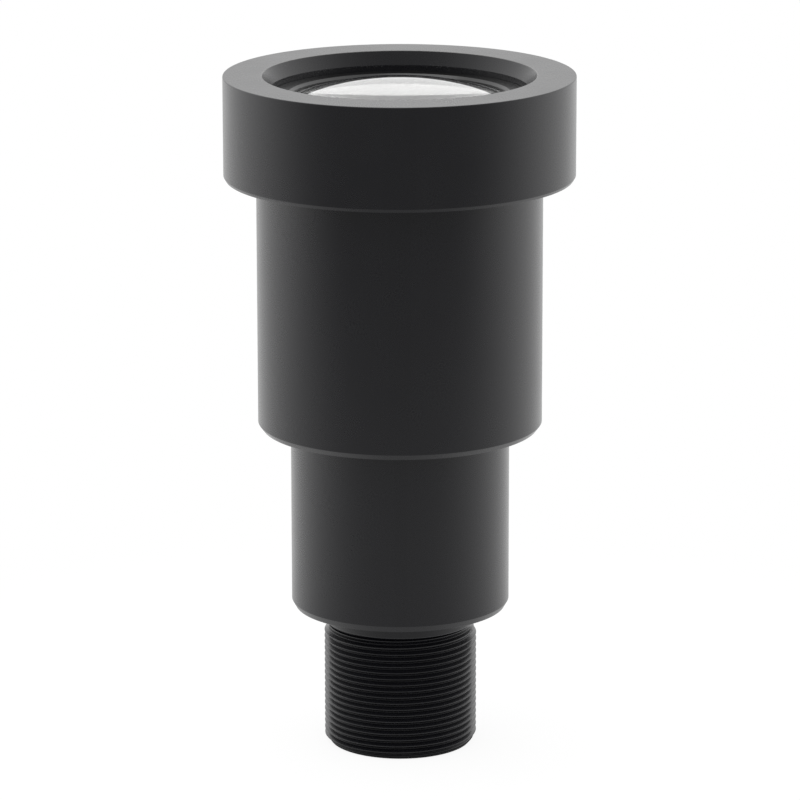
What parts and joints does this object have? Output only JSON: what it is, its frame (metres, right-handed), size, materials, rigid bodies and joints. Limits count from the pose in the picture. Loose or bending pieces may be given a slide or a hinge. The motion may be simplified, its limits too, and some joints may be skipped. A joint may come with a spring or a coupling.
{
  "type": "telephoto s-mount lens",
  "caption": "Telephoto board lens: a stepped, satin black anodised barrel with a wide head, glass behind a retaining ring, and an M12 mounting thread.",
  "frame": {"origin": "on the optical axis, in the plane of the barrel's rear (threaded) end", "axes": "+Z along the optical axis, from the threaded end to the front glass; the lens is round, so X and Y are free apart from the spanner slots, which lie along X"},
  "size_m": [0.0272, 0.0272, 0.0534],
  "materials": {
    "anodised_barrel": "satin black anodised, turned and fine blasted",
    "anodised_ring": "satin black anodised",
    "blackened_inside": "matte black anodised against stray light",
    "mask_film": "matte black film",
    "coated_glass": "polished optical glass with an anti-reflection coating",
    "filter_glass": "polished infrared-cut filter glass"
  },
  "bodies": {
    "root": {"main_barrel": "anodised_barrel", "front_retaining_ring": "anodised_ring", "front_element": "coated_glass", "front_spacer": "blackened_inside", "front_crown": "coated_glass", "front_flint": "coated_glass", "front_light_mask": "mask_film", "baffle_tube": "blackened_inside", "middle_retaining_ring": "blackened_inside", "aperture_stop": "mask_film", "stop_spacer": "blackened_inside", "middle_concave_element": "coated_glass", "middle_light_mask": "mask_film", "middle_spacer": "blackened_inside", "middle_convex_element": "coated_glass", "rear_flint": "coated_glass", "rear_crown": "coated_glass", "rear_spacer": "blackened_inside", "field_lens": "coated_glass", "rear_retaining_ring": "anodised_ring", "infrared_filter": "filter_glass"}
  },
  "joints": []
}
